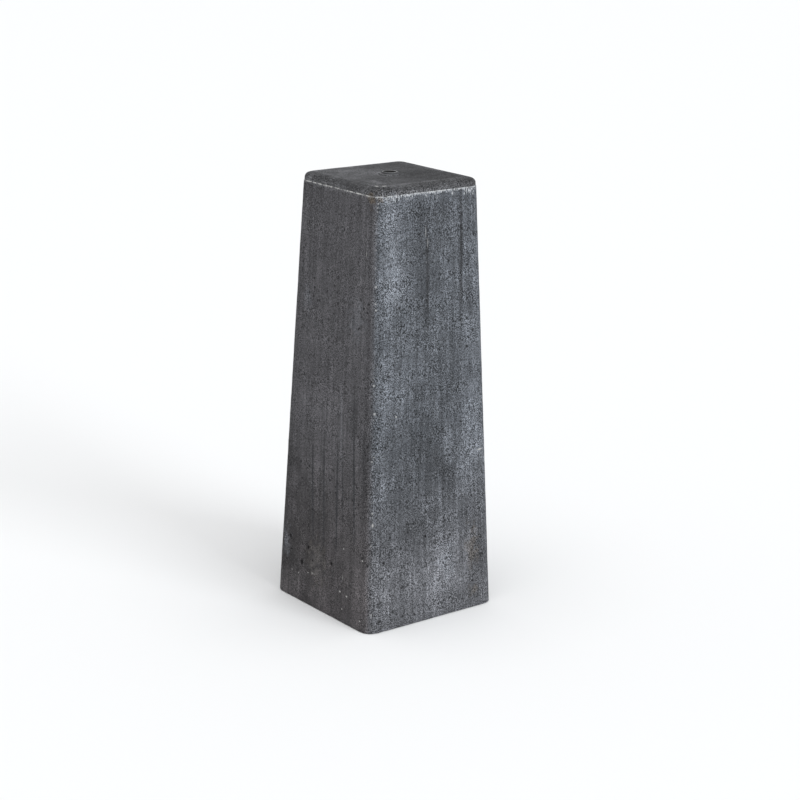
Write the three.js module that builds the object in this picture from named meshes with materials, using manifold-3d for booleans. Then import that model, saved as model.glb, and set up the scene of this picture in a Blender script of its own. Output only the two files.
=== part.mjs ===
// A cast concrete post base: a tapered square block with rounded arrises, a mould seam and a soft
// rim under its flat top, and a steel threaded socket cast into the middle of that top.
// Millimetres, +Z up. The origin is the middle of the underside, and the faces square to X and Y
// are the four tapered sides.

import * as THREE from "three";
import { mergeVertices } from "three/addons/utils/BufferGeometryUtils.js";
import Module from "manifold-3d";

// Concrete block
const BLOCK_HEIGHT = 500; // underside to flat top
const BASE_WIDTH = 185; // across two faces at the underside
const TOP_WIDTH = 146; // across two faces at the mould seam
const ARRIS_RADIUS = 15; // round of the four upright edges, the same from base to seam
const BASE_EDGE_BREAK = 1; // worn break round the underside
const RIM_HEIGHT = 10.5; // mould seam to flat top
const RIM_INSET = 13; // how far in from the faces the rim meets the flat top
const RIM_RADIUS = 6; // round at the rim's shoulder, over a short upright wall
const RIM_SLOPE = THREE.MathUtils.degToRad(14); // rise from the shoulder to the crease at the top
const SEAM_STEP = 0.6; // the rim half of the mould sits in by this much
const SEAM_FIN = 0.4; // sliver of cement that stands out at the seam
const SEAM_FIN_HEIGHT = 1.2;
const LEAST_CORNER = 0.5; // the rim's corner radius never goes below this

// Threaded socket
const THREAD_DIAMETER = 16;
const THREAD_PITCH = 2;
const THREAD_LENGTH = 40; // engaged thread below the mouth
const SOCKET_LENGTH = 60; // flat top of the concrete to the end of the socket
const SOCKET_WALL = 2.6; // outside the thread
const SOCKET_FLOOR = 3;
const SOCKET_END_BREAK = 1;
const LIP_HEIGHT = 1.5; // the mouth stands this much above the concrete
const LIP_WALL = 0.5; // outside the thread, at the mouth
const SINK_WIDTH = 0.8; // countersink round the thread's mouth
const SHOULDER_COVER = 2.5; // concrete over the shoulder where the socket widens
const CAST_CLEARANCE = 0.3; // between the socket and the concrete round it

// Fineness of the faceted rounds
const ARRIS_STEPS = 8;
const RIM_STEPS = 8;
const ROUND_STEPS = 24;

// Worked out from the sizes above
const SEAM_LEVEL = BLOCK_HEIGHT - RIM_HEIGHT;
const THREAD_RADIUS = THREAD_DIAMETER / 2;
const ISO_THREAD_DEPTH = (5 / 8) * (Math.sqrt(3) / 2); // of one pitch
const MINOR_RADIUS = THREAD_RADIUS - ISO_THREAD_DEPTH * THREAD_PITCH;
const LIP_RADIUS = THREAD_RADIUS + LIP_WALL;
const SOCKET_RADIUS = THREAD_RADIUS + SOCKET_WALL;
const LIP_TOP = BLOCK_HEIGHT + LIP_HEIGHT;
const SOCKET_END = BLOCK_HEIGHT - SOCKET_LENGTH;
const SHOULDER_LEVEL = BLOCK_HEIGHT - SHOULDER_COVER;

const wasm = await Module();
wasm.setup();

// Colours and finishes
const concrete = new THREE.MeshStandardMaterial({ color: "#5a5b5e", roughness: 0.9, metalness: 0 });
const steel = new THREE.MeshStandardMaterial({ color: "#a9a8a4", roughness: 0.4, metalness: 1 });

// A closed solid from points and from triangles that index them.
function geometryOf(points, triangles) {
  const geometry = new THREE.BufferGeometry();
  geometry.setAttribute("position", new THREE.Float32BufferAttribute(points.flat(), 3));
  geometry.setIndex(triangles.flat());
  return geometry;
}

function solidOf(geometry) {
  const bare = geometry.clone();
  bare.deleteAttribute("normal");
  bare.deleteAttribute("uv");
  const merged = mergeVertices(bare);
  const mesh = new wasm.Mesh({
    numProp: 3,
    vertProperties: Float32Array.from(merged.attributes.position.array),
    triVerts: Uint32Array.from(merged.index.array),
  });
  return new wasm.Manifold(mesh);
}

function meshOf(name, solid, material) {
  const { vertProperties, triVerts } = solid.getMesh();
  const geometry = new THREE.BufferGeometry();
  geometry.setAttribute("position", new THREE.Float32BufferAttribute(vertProperties, 3));
  geometry.setIndex([...triVerts]);
  geometry.computeVertexNormals();
  const mesh = new THREE.Mesh(geometry, material);
  mesh.name = name;
  return mesh;
}

// A solid of revolution about Z from a profile of [radius, height] points, listed from the bottom.
function turned(profile) {
  const outline = profile.map(([radius, height]) => new THREE.Vector2(radius, height));
  return solidOf(new THREE.LatheGeometry(outline, ROUND_STEPS).rotateX(Math.PI / 2));
}

// One level of the block: a square with rounded corners, anticlockwise from above.
function roundedSquare(width, radius, height) {
  const reach = width / 2 - radius;
  const points = [];
  for (let corner = 0; corner < 4; corner += 1) {
    const start = (corner * Math.PI) / 2;
    const middle = start + Math.PI / 4;
    const centreX = reach * Math.SQRT2 * Math.cos(middle);
    const centreY = reach * Math.SQRT2 * Math.sin(middle);
    for (let step = 0; step <= ARRIS_STEPS; step += 1) {
      const angle = start + (step / ARRIS_STEPS) * (Math.PI / 2);
      points.push([centreX + radius * Math.cos(angle), centreY + radius * Math.sin(angle), height]);
    }
  }
  return points;
}

// A closed skin over levels of equal count, with a flat cap fanned from the middle at each end.
function lofted(levels) {
  const count = levels[0].length;
  const points = levels.flat();
  const triangles = [];
  for (let level = 0; level < levels.length - 1; level += 1) {
    for (let place = 0; place < count; place += 1) {
      const next = (place + 1) % count;
      const low = level * count;
      const high = low + count;
      triangles.push([low + place, low + next, high + next]);
      triangles.push([low + place, high + next, high + place]);
    }
  }
  const bottomMiddle = points.push([0, 0, levels[0][0][2]]) - 1;
  const topMiddle = points.push([0, 0, levels.at(-1)[0][2]]) - 1;
  const topStart = (levels.length - 1) * count;
  for (let place = 0; place < count; place += 1) {
    const next = (place + 1) % count;
    triangles.push([bottomMiddle, next, place]);
    triangles.push([topMiddle, topStart + place, topStart + next]);
  }
  return solidOf(geometryOf(points, triangles));
}

function faceWidth(height) {
  return BASE_WIDTH + ((TOP_WIDTH - BASE_WIDTH) * height) / SEAM_LEVEL;
}

// The block's levels from the underside up: the base break, the tapered body, the seam and the rim.
function blockLevels() {
  const level = (height, inset) => {
    const radius = Math.max(ARRIS_RADIUS - inset, LEAST_CORNER);
    const width = faceWidth(Math.min(height, SEAM_LEVEL)) - 2 * inset;
    return roundedSquare(width, radius, height);
  };
  const levels = [
    level(0, BASE_EDGE_BREAK),
    level(BASE_EDGE_BREAK, 0),
    level(SEAM_LEVEL - SEAM_FIN_HEIGHT / 2, 0),
    level(SEAM_LEVEL, -SEAM_FIN),
  ];
  // The rim: a short wall, a shoulder turned through what the slope leaves of a right angle, and
  // the slope. The shoulder's radius gives way where the rim is too low for it.
  const rimStart = SEAM_LEVEL + SEAM_FIN_HEIGHT / 2;
  const sweep = Math.PI / 2 - RIM_SLOPE;
  const climb = Math.tan(RIM_SLOPE);
  const run = RIM_INSET - SEAM_STEP;
  const roomForShoulder = BLOCK_HEIGHT - rimStart - run * climb;
  const risePerRadius = Math.sin(sweep) - (1 - Math.cos(sweep)) * climb;
  const radius = Math.min(RIM_RADIUS, roomForShoulder / risePerRadius);
  const shoulderStart = BLOCK_HEIGHT - run * climb - radius * risePerRadius;
  levels.push(level(rimStart, SEAM_STEP));
  for (let step = 0; step <= RIM_STEPS; step += 1) {
    const angle = (step / RIM_STEPS) * sweep;
    const inset = SEAM_STEP + radius * (1 - Math.cos(angle));
    levels.push(level(shoulderStart + radius * Math.sin(angle), inset));
  }
  levels.push(level(BLOCK_HEIGHT, RIM_INSET));
  return levels;
}

// The outside of the socket, grown by a clearance where it is the pocket in the concrete.
function socketOutside(clearance) {
  const lip = LIP_RADIUS + clearance;
  const body = SOCKET_RADIUS + clearance;
  const shoulder = SHOULDER_LEVEL + clearance;
  const slope = body - lip;
  return [
    [0, SOCKET_END - clearance],
    [body - SOCKET_END_BREAK, SOCKET_END - clearance],
    [body, SOCKET_END - clearance + SOCKET_END_BREAK],
    [body, shoulder - slope],
    [lip, shoulder],
    [lip, LIP_TOP + clearance],
    [0, LIP_TOP + clearance],
  ];
}

// The threaded core, taller than the thread at both ends. Its skin is a grid of rows that climb one
// pitch a turn, four rows to a pitch: the crest's two edges and the root's two edges.
function threadCore(bottom, top) {
  const rows = [
    [0, MINOR_RADIUS],
    [1 / 4, MINOR_RADIUS],
    [9 / 16, THREAD_RADIUS],
    [11 / 16, THREAD_RADIUS],
  ];
  const start = bottom - 2 * THREAD_PITCH;
  const turns = Math.ceil((top - start) / THREAD_PITCH) + 1;
  const rowCount = turns * rows.length;
  const points = [];
  const places = new Map();
  const place = (step, row) => {
    // A full turn on, a row has become the row one pitch above it.
    const key = step === ROUND_STEPS ? `0,${row + rows.length}` : `${step},${row}`;
    if (!places.has(key)) {
      const [share, radius] = rows[row % rows.length];
      const angle = (step / ROUND_STEPS) * 2 * Math.PI;
      const climb = Math.floor(row / rows.length) + share + step / ROUND_STEPS;
      const height = start + climb * THREAD_PITCH;
      const point = [radius * Math.cos(angle), radius * Math.sin(angle), height];
      places.set(key, points.push(point) - 1);
    }
    return places.get(key);
  };
  const triangles = [];
  for (let step = 0; step < ROUND_STEPS; step += 1) {
    for (let row = 0; row < rowCount; row += 1) {
      const corners = [place(step, row), place(step + 1, row), place(step + 1, row + 1), place(step, row + 1)];
      triangles.push([corners[0], corners[1], corners[2]]);
      triangles.push([corners[0], corners[2], corners[3]]);
    }
  }
  const bottomMiddle = points.push([0, 0, start - THREAD_PITCH]) - 1;
  const topMiddle = points.push([0, 0, start + (turns + 2) * THREAD_PITCH]) - 1;
  for (let step = 0; step < ROUND_STEPS; step += 1) {
    triangles.push([bottomMiddle, place(step + 1, 0), place(step, 0)]);
    triangles.push([topMiddle, place(step, rowCount), place(step + 1, rowCount)]);
  }
  for (let row = 0; row < rows.length; row += 1) {
    triangles.push([bottomMiddle, place(0, row), place(0, row + 1)]);
    triangles.push([topMiddle, place(0, rowCount + row + 1), place(0, rowCount + row)]);
  }
  return solidOf(geometryOf(points, triangles));
}

// The socket's inside: thread, plain bore below it and countersunk mouth.
function socketInside() {
  const threadBottom = LIP_TOP - THREAD_LENGTH;
  const sinkRadius = MINOR_RADIUS + SINK_WIDTH;
  const sinkDepth = SINK_WIDTH;
  const overlap = THREAD_PITCH;
  const clear = THREAD_RADIUS + THREAD_PITCH;
  const plain = MINOR_RADIUS * Math.cos(Math.PI / ROUND_STEPS);
  const thread = threadCore(threadBottom, LIP_TOP).intersect(
    turned([
      [0, threadBottom],
      [clear, threadBottom],
      [clear, LIP_TOP + overlap],
      [0, LIP_TOP + overlap],
    ]),
  );
  const bore = turned([
    [0, SOCKET_END + SOCKET_FLOOR],
    [plain, SOCKET_END + SOCKET_FLOOR],
    [plain, threadBottom + overlap],
    [0, threadBottom + overlap],
  ]);
  const mouth = turned([
    [0, LIP_TOP - sinkDepth],
    [MINOR_RADIUS, LIP_TOP - sinkDepth],
    [sinkRadius, LIP_TOP],
    [sinkRadius, LIP_TOP + overlap],
    [0, LIP_TOP + overlap],
  ]);
  return thread.add(bore).add(mouth);
}

function concreteBlock() {
  const pocket = turned(socketOutside(CAST_CLEARANCE));
  return meshOf("concrete_block", lofted(blockLevels()).subtract(pocket), concrete);
}

function threadedSocket() {
  const sleeve = turned(socketOutside(0));
  return meshOf("threaded_insert", sleeve.subtract(socketInside()), steel);
}

const postBase = new THREE.Group();
postBase.add(concreteBlock(), threadedSocket());

export default postBase;
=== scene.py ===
"""A tapered concrete post base: the cast block and its threaded steel socket.

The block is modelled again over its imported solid, with the relief of a real casting: a slack
skin, air holes, a broken fin along the mould seam and a ragged pour edge. The socket keeps its
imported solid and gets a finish. Sizes are in metres in the frame's own axes, and those in the
tables of seen marks are in millimetres.
"""

import logging
import math
import random
from collections.abc import Callable, Iterable, Sequence
from dataclasses import dataclass, field
from enum import Enum

import bmesh
import bpy
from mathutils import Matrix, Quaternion, Vector


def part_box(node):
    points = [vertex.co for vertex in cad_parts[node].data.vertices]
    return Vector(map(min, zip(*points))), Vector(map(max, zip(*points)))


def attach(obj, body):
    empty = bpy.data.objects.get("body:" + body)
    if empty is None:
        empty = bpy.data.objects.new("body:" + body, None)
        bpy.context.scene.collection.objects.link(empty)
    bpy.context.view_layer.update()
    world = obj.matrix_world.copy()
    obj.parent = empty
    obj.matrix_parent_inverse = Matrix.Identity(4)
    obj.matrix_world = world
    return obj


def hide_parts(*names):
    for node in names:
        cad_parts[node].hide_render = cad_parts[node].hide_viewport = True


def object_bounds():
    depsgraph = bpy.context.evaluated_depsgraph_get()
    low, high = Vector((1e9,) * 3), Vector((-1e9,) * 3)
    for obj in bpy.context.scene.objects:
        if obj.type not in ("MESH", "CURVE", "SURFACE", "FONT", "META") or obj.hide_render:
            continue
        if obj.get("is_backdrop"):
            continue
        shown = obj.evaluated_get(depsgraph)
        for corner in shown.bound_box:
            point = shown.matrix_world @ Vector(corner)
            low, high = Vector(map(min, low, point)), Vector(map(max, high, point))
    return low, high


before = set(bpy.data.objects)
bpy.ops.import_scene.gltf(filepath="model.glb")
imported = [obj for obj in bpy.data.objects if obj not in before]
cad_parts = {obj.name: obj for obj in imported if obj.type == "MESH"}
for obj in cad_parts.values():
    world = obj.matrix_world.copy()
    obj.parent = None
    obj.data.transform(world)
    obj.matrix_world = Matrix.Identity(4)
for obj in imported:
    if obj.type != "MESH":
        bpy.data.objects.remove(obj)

CAD_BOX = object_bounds()
MM = 0.001
UPWARD = 0.9

Element = bmesh.types.BMVert | bmesh.types.BMEdge | bmesh.types.BMFace
Feed = bpy.types.NodeSocket | float | tuple[float, ...]
Shade = tuple[int, int, int]

log = logging.getLogger("post_base")


class Face(Enum):
    """The block's faces, each upright one with the two signs of its outward direction."""

    LEFT = (-1, 0)
    RIGHT = (0, -1)
    FAR_LEFT = (0, 1)
    FAR_RIGHT = (1, 0)
    TOP = (0, 0)


@dataclass(frozen=True)
class BlockSizes:
    """The sizes of the cast block, in metres."""

    base_width: float
    height: float
    top_width: float = 146 * MM
    arris_radius: float = 15 * MM
    rim_height: float = 10.5 * MM
    rim_inset: float = 13 * MM
    rim_radius: float = 6 * MM
    rim_slope: float = math.radians(14)
    seam_step: float = 0.6 * MM
    seam_fin: float = 0.35 * MM
    seam_fin_height: float = 1.2 * MM
    edge_break: float = 0.6 * MM

    @property
    def seam(self) -> float:
        """Height of the mould seam above the underside."""
        return self.height - self.rim_height

    @property
    def slope(self) -> float:
        """How far each face draws in for each metre of height."""
        return (self.base_width - self.top_width) / 2 / self.seam

    def half_width(self, height: float) -> float:
        """Half the width across two faces at a height above the underside."""
        share = min(height, self.seam) / self.seam
        return (self.base_width + (self.top_width - self.base_width) * share) / 2

    def on_face(self, face: Face, along: float, height: float, proud: float = 0.0) -> Vector:
        """A place on one of the faces.

        Args:
            face: The face.
            along: Distance along it from its middle, towards +X or +Y.
            height: Height above the underside; on the top, distance towards +Y.
            proud: Distance outwards from the face.

        Returns:
            The place in the frame's axes.
        """
        out_x, out_y = face.value
        if face is Face.TOP:
            return Vector((along, height, self.height + proud))
        reach = self.half_width(height) + proud
        if out_x:
            return Vector((out_x * reach, along, height))
        return Vector((along, out_y * reach, height))


def start_alone() -> None:
    """Leave edit mode and deselect every object."""
    if bpy.context.object is not None and bpy.context.object.mode != "OBJECT":
        bpy.ops.object.mode_set(mode="OBJECT")
    bpy.ops.object.select_all(action="DESELECT")


def make_active(piece: bpy.types.Object) -> None:
    """Select one object alone and make it the active one.

    Args:
        piece: The object.
    """
    start_alone()
    piece.select_set(True)
    bpy.context.view_layer.objects.active = piece


def select_where(piece: bpy.types.Object, kind: str, test: Callable[[Element], bool]) -> int:
    """Select the vertices, edges or faces that pass a test, in edit mode.

    Args:
        piece: The object being edited.
        kind: VERT, EDGE or FACE.
        test: Says whether an element is wanted.

    Returns:
        How many elements were selected.
    """
    bpy.ops.mesh.select_mode(type=kind)
    bpy.ops.mesh.select_all(action="DESELECT")
    edited = bmesh.from_edit_mesh(piece.data)
    elements = {"VERT": edited.verts, "EDGE": edited.edges, "FACE": edited.faces}[kind]
    wanted = [element for element in elements if test(element)]
    for element in wanted:
        element.select_set(True)
    bmesh.update_edit_mesh(piece.data)
    return len(wanted)


def apply_modifier(piece: bpy.types.Object, modifier: bpy.types.Modifier) -> None:
    """Apply one of an object's modifiers to its mesh."""
    make_active(piece)
    bpy.ops.object.modifier_apply(modifier=modifier.name)


def scene_colour(display: Shade) -> tuple[float, float, float, float]:
    """Turn a display colour into a scene colour.

    Args:
        display: Its red, green and blue from 0 to 255.

    Returns:
        The linear colour with full alpha.
    """
    def linear(level: int) -> float:
        """Linear value of one display level."""
        share = level / 255
        return share / 12.92 if share <= 0.04045 else ((share + 0.055) / 1.055) ** 2.4

    red, green, blue = display
    return (linear(red), linear(green), linear(blue), 1.0)


class NodeSheet:
    """Short calls that add nodes to one tree and join them."""

    def __init__(self, tree: bpy.types.NodeTree) -> None:
        """Work on one tree."""
        self.tree = tree

    def add(self, kind: str, feeds: dict[str | int, Feed], **settings: object) -> bpy.types.Node:
        """Add a node.

        Args:
            kind: The node's type.
            feeds: Values or sockets for its inputs, by name or number.
            settings: The node's own settings.

        Returns:
            The node.
        """
        node = self.tree.nodes.new(kind)
        for name, setting in settings.items():
            setattr(node, name, setting)
        for key, feed in feeds.items():
            if isinstance(feed, bpy.types.NodeSocket):
                self.tree.links.new(feed, node.inputs[key])
            else:
                node.inputs[key].default_value = feed
        return node

    def math(self, operation: str, first: Feed, second: Feed = 0.0) -> bpy.types.NodeSocket:
        """Add a sum on one or two numbers, by the operation's name."""
        return self.add("ShaderNodeMath", {0: first, 1: second}, operation=operation).outputs[0]

    def times(self, first: Feed, second: Feed) -> bpy.types.NodeSocket:
        """Multiply two numbers."""
        return self.math("MULTIPLY", first, second)

    def plus(self, first: Feed, second: Feed) -> bpy.types.NodeSocket:
        """Add two numbers."""
        return self.math("ADD", first, second)

    def minus(self, first: Feed, second: Feed) -> bpy.types.NodeSocket:
        """Take the second number from the first."""
        return self.math("SUBTRACT", first, second)

    def most(self, first: Feed, second: Feed) -> bpy.types.NodeSocket:
        """Keep the larger of two numbers."""
        return self.math("MAXIMUM", first, second)

    def vector(self, operation: str, first: Feed, second: Feed = (0, 0, 0)) -> bpy.types.Node:
        """Add a sum on one or two vectors, by the operation's name."""
        return self.add("ShaderNodeVectorMath", {0: first, 1: second}, operation=operation)

    def spread(
        self, value: Feed, low: float, high: float, to_low: float = 0.0, to_high: float = 1.0
    ) -> bpy.types.NodeSocket:
        """Spread a range of values smoothly over another.

        Args:
            value: The value.
            low: Value that gives to_low.
            high: Value that gives to_high.
            to_low: Result at low and below.
            to_high: Result at high and above.

        Returns:
            The result.
        """
        node = self.add(
            "ShaderNodeMapRange",
            {0: value, 1: low, 2: high, 3: to_low, 4: to_high},
            interpolation_type="SMOOTHSTEP",
        )
        return node.outputs[0]

    def between(self, share: Feed, none: float, full: float) -> bpy.types.NodeSocket:
        """Run smoothly from one value, where a share is 0, to another, where it is 1."""
        return self.spread(share, 0.0, 1.0, none, full)

    def cloud(
        self, place: Feed, scale: Feed, detail: float, roughness: float = 0.55
    ) -> bpy.types.NodeSocket:
        """Add clouds, so many to a metre, with finer ones riding on them; about 0.5 on average."""
        feeds = {"Vector": place, "Scale": scale, "Detail": detail, "Roughness": roughness}
        return self.add("ShaderNodeTexNoise", feeds).outputs["Fac"]

    def lay(self, share: Feed, under: Feed, display: Shade) -> bpy.types.NodeSocket:
        """Lay a share of a display colour over another colour."""
        return self.blend(share, under, scene_colour(display))

    def blend(
        self, share: Feed, first: Feed, second: Feed, way: str = "MIX"
    ) -> bpy.types.NodeSocket:
        """Blend two colours.

        Args:
            share: How much of the second.
            first: The first colour.
            second: The second colour.
            way: How they are blended.

        Returns:
            The colour.
        """
        node = self.add(
            "ShaderNodeMix", {0: share, 6: first, 7: second}, data_type="RGBA", blend_type=way
        )
        return node.outputs[2]

    def use(self, group: bpy.types.NodeTree, feeds: dict[str, Feed]) -> bpy.types.Node:
        """Place a shared effect with its inputs."""
        return self.add("ShaderNodeGroup", feeds, node_tree=group)


class Effect:
    """A shader group with named inputs and outputs, under construction."""

    def __init__(self, name: str, inputs: dict[str, float | Vector], outputs: Sequence[str]) -> None:
        """Start a group.

        Args:
            name: The group's name.
            inputs: Its inputs with their usual values; a Vector makes a vector input.
            outputs: Its outputs, all numbers.
        """
        self.tree = bpy.data.node_groups.new(name, "ShaderNodeTree")
        for label, usual in inputs.items():
            kind = "NodeSocketVector" if isinstance(usual, Vector) else "NodeSocketFloat"
            socket = self.tree.interface.new_socket(label, in_out="INPUT", socket_type=kind)
            socket.default_value = usual
        for label in outputs:
            self.tree.interface.new_socket(label, in_out="OUTPUT", socket_type="NodeSocketFloat")
        self.sheet = NodeSheet(self.tree)
        self.given = self.tree.nodes.new("NodeGroupInput").outputs
        self.result = self.tree.nodes.new("NodeGroupOutput").inputs

    def put(self, label: str, value: bpy.types.NodeSocket) -> None:
        """Join a value to an output."""
        self.tree.links.new(value, self.result[label])


@dataclass(frozen=True)
class LimeFall:
    """A stretch of the seam's front where lime has run further down, in millimetres.

    Attributes:
        along: Distance along the seam from the middle of the face.
        width: Width of the stretch.
        reach: How far below the seam the lime runs.
    """

    along: float
    width: float
    reach: float


LIME_FALLS = (
    LimeFall(-52, 34, 8),
    LimeFall(-30, 26, 6),
    LimeFall(-3, 16, 6),
    LimeFall(10, 12, 9),
    LimeFall(32, 16, 8),
    LimeFall(54, 30, 10),
)


class CastEffects:
    """The shader groups shared by the finishes, each made once."""

    def __init__(self, sizes: BlockSizes) -> None:
        """Make every group.

        Args:
            sizes: The block's sizes, for the patterns that follow its taper.
        """
        self.sizes = sizes
        self.soft_patch = self._soft_patch()
        self.runs = self._runs()
        self.mottle = self._mottle()
        self.grain = self._grain()
        self.pores = self._pores()
        self.sides = self._sides()
        self.seam_lime = self._seam_lime()

    def _tapered(self, sheet: NodeSheet, place: Feed) -> tuple[bpy.types.NodeSocket, ...]:
        """Undo the taper, so that a pattern narrows upwards with the block.

        Args:
            sheet: Where the nodes go.
            place: The place on the block.

        Returns:
            The place's X and Y as shares of the half width, and its Z in metres.
        """
        parts = sheet.add("ShaderNodeSeparateXYZ", {0: place})
        sizes = self.sizes
        level = sheet.math("MINIMUM", parts.outputs[2], sizes.seam)
        half = sheet.minus(sizes.half_width(0), sheet.times(level, sizes.slope))
        across = sheet.math("DIVIDE", parts.outputs[0], half)
        deep = sheet.math("DIVIDE", parts.outputs[1], half)
        return across, deep, parts.outputs[2]

    def _soft_patch(self) -> bpy.types.NodeTree:
        """A soft ragged patch about a place.

        Returns:
            The group: Place, Rise (its height above the patch's middle), Middle, Reach
            (half sizes), Lean (shift for each metre of Rise), Ragged and Fine in, Mask out.
        """
        effect = Effect(
            "soft_patch",
            {
                "Place": Vector(),
                "Rise": 0.0,
                "Middle": Vector(),
                "Reach": Vector((10 * MM, 10 * MM, 10 * MM)),
                "Lean": Vector(),
                "Ragged": 0.6,
                "Fine": 150.0,
            },
            ["Mask"],
        )
        sheet, given = effect.sheet, effect.given
        away = sheet.vector("SUBTRACT", given["Place"], given["Middle"]).outputs[0]
        drift = sheet.vector("SCALE", given["Lean"])
        sheet.tree.links.new(given["Rise"], drift.inputs["Scale"])
        away = sheet.vector("SUBTRACT", away, drift.outputs[0]).outputs[0]
        shares = sheet.vector("DIVIDE", away, given["Reach"]).outputs[0]
        distance = sheet.vector("LENGTH", shares).outputs["Value"]
        cloud = sheet.cloud(given["Place"], given["Fine"], 3.0)
        push = sheet.times(sheet.minus(cloud, 0.5), given["Ragged"])
        edge = sheet.plus(distance, sheet.times(push, 4.0))
        effect.put("Mask", sheet.spread(edge, 1.1, 0.15))
        return effect.tree

    def _runs(self) -> bpy.types.NodeTree:
        """Upright runs that narrow with the taper.

        Returns:
            The group: Place, Width, Length, Shift in, Mask out.
        """
        effect = Effect(
            "upright_runs",
            {"Place": Vector(), "Width": 0.006, "Length": 0.12, "Shift": 0.0},
            ["Mask"],
        )
        sheet, given = effect.sheet, effect.given
        across, deep, up = self._tapered(sheet, given["Place"])
        middle = self.sizes.half_width(self.sizes.seam / 2)
        fine = sheet.math("DIVIDE", middle, given["Width"])
        tall = sheet.math("DIVIDE", up, given["Length"])
        where = sheet.add("ShaderNodeCombineXYZ", {
            0: sheet.times(across, fine),
            1: sheet.times(deep, fine),
            2: sheet.plus(tall, given["Shift"]),
        }).outputs[0]
        effect.put("Mask", sheet.cloud(where, 1.0, 3.0, 0.6))
        return effect.tree

    def _mottle(self) -> bpy.types.NodeTree:
        """Blotches of two sizes.

        Returns:
            The group: Place and Size in, Mask out.
        """
        effect = Effect("blotches", {"Place": Vector(), "Size": 0.03}, ["Mask"])
        sheet, given = effect.sheet, effect.given
        scale = sheet.math("DIVIDE", 1.0, given["Size"])
        broad = sheet.cloud(given["Place"], scale, 4.0, 0.6)
        close = sheet.cloud(given["Place"], sheet.times(scale, 3.7), 3.0, 0.6)
        both = sheet.plus(sheet.times(broad, 0.65), sheet.times(close, 0.35))
        effect.put("Mask", sheet.spread(both, 0.38, 0.62))
        return effect.tree

    def _grain(self) -> bpy.types.NodeTree:
        """The grain of a cast skin: sand and cement paste, light and dark.

        Returns:
            The group: Place and Size in, Mask (0 dark to 1 light) out.
        """
        effect = Effect("cast_grain", {"Place": Vector(), "Size": 0.0012}, ["Mask"])
        sheet, given = effect.sheet, effect.given
        scale = sheet.math("DIVIDE", 1.0, given["Size"])
        tall = sheet.vector("MULTIPLY", given["Place"], (1.0, 1.0, 0.72)).outputs[0]
        sand = sheet.cloud(tall, scale, 1.0, 0.8)
        paste = sheet.cloud(given["Place"], sheet.times(scale, 0.3), 2.0, 0.6)
        both = sheet.plus(sheet.times(sand, 0.84), sheet.times(paste, 0.16))
        effect.put("Mask", sheet.spread(both, 0.36, 0.64))
        return effect.tree

    def _pores(self) -> bpy.types.NodeTree:
        """Pinholes too small to model.

        Returns:
            The group: Place, Spacing and Width in, Mask out.
        """
        effect = Effect("pinholes", {"Place": Vector(), "Spacing": 0.006, "Width": 0.0009}, ["Mask"])
        sheet, given = effect.sheet, effect.given
        scale = sheet.math("DIVIDE", 1.0, given["Spacing"])
        cells = sheet.add("ShaderNodeTexVoronoi", {"Vector": given["Place"], "Scale": scale})
        distance = sheet.times(cells.outputs["Distance"], given["Spacing"])
        parts = sheet.add("ShaderNodeSeparateColor", {0: cells.outputs["Color"]})
        size = sheet.times(given["Width"], sheet.math("POWER", parts.outputs[0], 2.0))
        reach = sheet.math("DIVIDE", distance, sheet.plus(size, 1e-5))
        inside = sheet.minus(1.0, reach)
        effect.put("Mask", sheet.spread(inside, 0.0, 0.5))
        return effect.tree

    def _sides(self) -> bpy.types.NodeTree:
        """Tells the pair of bloomed faces from the pair of plain ones, and the rim from both.

        Returns:
            The group: Place in; Bloomed, Top, Rim (its slope), Wall (its foot), Crease (where
            it meets the flat top), Dip (the dark strip beside the bloom's edge) and Crest (the
            arris itself) out.
        """
        outputs = ["Bloomed", "Top", "Rim", "Wall", "Crease", "Dip", "Crest"]
        effect = Effect("sides", {"Place": Vector()}, outputs)
        sheet, given = effect.sheet, effect.given
        across, deep, up = self._tapered(sheet, given["Place"])
        height, seam = self.sizes.height, self.sizes.seam
        turn = sheet.minus(across, deep)
        wander = sheet.minus(sheet.cloud(given["Place"], 25.0, 3.0), 0.5)
        turn = sheet.plus(turn, sheet.times(wander, 0.08))
        flat = sheet.spread(up, height - 2.0 * MM, height - 1.0 * MM)
        upright = sheet.minus(1.0, flat)
        on_side = sheet.times(sheet.spread(turn, -0.09, 0.06), upright)
        effect.put("Bloomed", sheet.plus(on_side, sheet.times(flat, 0.35)))
        effect.put("Top", sheet.spread(up, seam - 0.2 * MM, seam + 0.8 * MM))
        below_top = sheet.spread(up, height - 0.8 * MM, height - 1.6 * MM)
        above_wall = sheet.spread(up, seam + 3.0 * MM, seam + 6.0 * MM)
        effect.put("Rim", sheet.times(below_top, above_wall))
        above_seam = sheet.spread(up, seam, seam + 1.5 * MM)
        below_slope = sheet.spread(up, seam + 6.0 * MM, seam + 3.5 * MM)
        effect.put("Wall", sheet.times(above_seam, below_slope))
        wide = sheet.most(sheet.math("ABSOLUTE", across), sheet.math("ABSOLUTE", deep))
        half = self.sizes.top_width / 2
        crease = (half - self.sizes.rim_inset) / half
        from_crease = sheet.math("ABSOLUTE", sheet.minus(wide, crease))
        effect.put("Crease", sheet.spread(from_crease, 0.07, 0.0))
        beside = sheet.math("ABSOLUTE", sheet.plus(turn, 0.12))
        effect.put("Dip", sheet.times(sheet.spread(beside, 0.09, 0.01), upright))
        crest = sheet.math("ABSOLUTE", sheet.minus(turn, 0.02))
        below_seam = sheet.spread(up, seam, seam - 2.0 * MM)
        crest = sheet.times(sheet.spread(crest, 0.05, 0.0), below_seam)
        effect.put("Crest", sheet.times(crest, sheet.spread(up, 1.0 * MM, 4.0 * MM)))
        return effect.tree

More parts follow.
